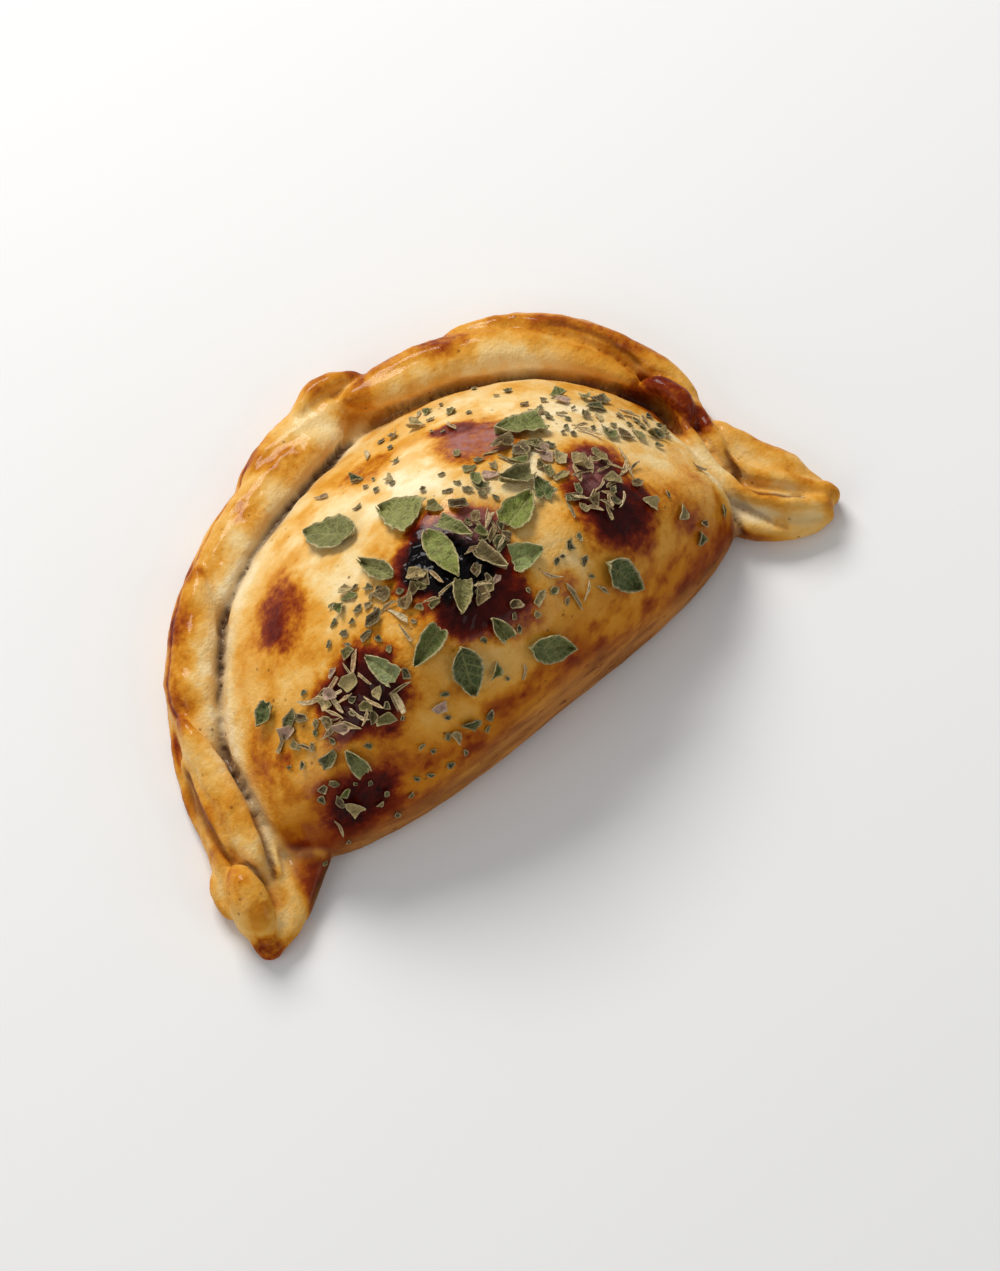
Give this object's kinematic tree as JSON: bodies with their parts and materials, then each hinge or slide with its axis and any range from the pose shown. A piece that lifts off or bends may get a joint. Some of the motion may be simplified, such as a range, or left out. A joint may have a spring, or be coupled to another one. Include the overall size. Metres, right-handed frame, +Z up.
{
  "type": "empanada",
  "caption": "Oven-baked half-moon empanada with a hand-folded rim, twisted horn ends, browned spots and dried oregano leaves and flakes on top.",
  "frame": {"origin": "centre of the bounding box in plan, on the flat underside that it rests on", "axes": "+X from the left horn to the right one, +Y towards the folded rim, +Z up"},
  "size_m": [0.1332, 0.0804, 0.037],
  "materials": {
    "crust": "baked dough with an egg glaze, golden with cream patches and dark brown to black baked spots",
    "dried_oregano": "matt dried leaf, olive green with straw-coloured slivers"
  },
  "bodies": {
    "root": {"oregano_leaf_01": "dried_oregano", "oregano_leaf_02": "dried_oregano", "oregano_leaf_03": "dried_oregano", "oregano_leaf_04": "dried_oregano", "oregano_leaf_05": "dried_oregano", "oregano_leaf_06": "dried_oregano", "oregano_leaf_07": "dried_oregano", "oregano_leaf_08": "dried_oregano", "oregano_leaf_09": "dried_oregano", "oregano_leaf_10": "dried_oregano", "oregano_leaf_11": "dried_oregano", "oregano_leaf_12": "dried_oregano", "oregano_leaf_13": "dried_oregano", "oregano_leaf_14": "dried_oregano", "oregano_leaf_15": "dried_oregano", "oregano_leaf_16": "dried_oregano", "oregano_leaf_17": "dried_oregano", "oregano_leaf_18": "dried_oregano", "oregano_leaf_19": "dried_oregano", "oregano_leaf_20": "dried_oregano", "pastry": "crust"}
  },
  "joints": []
}
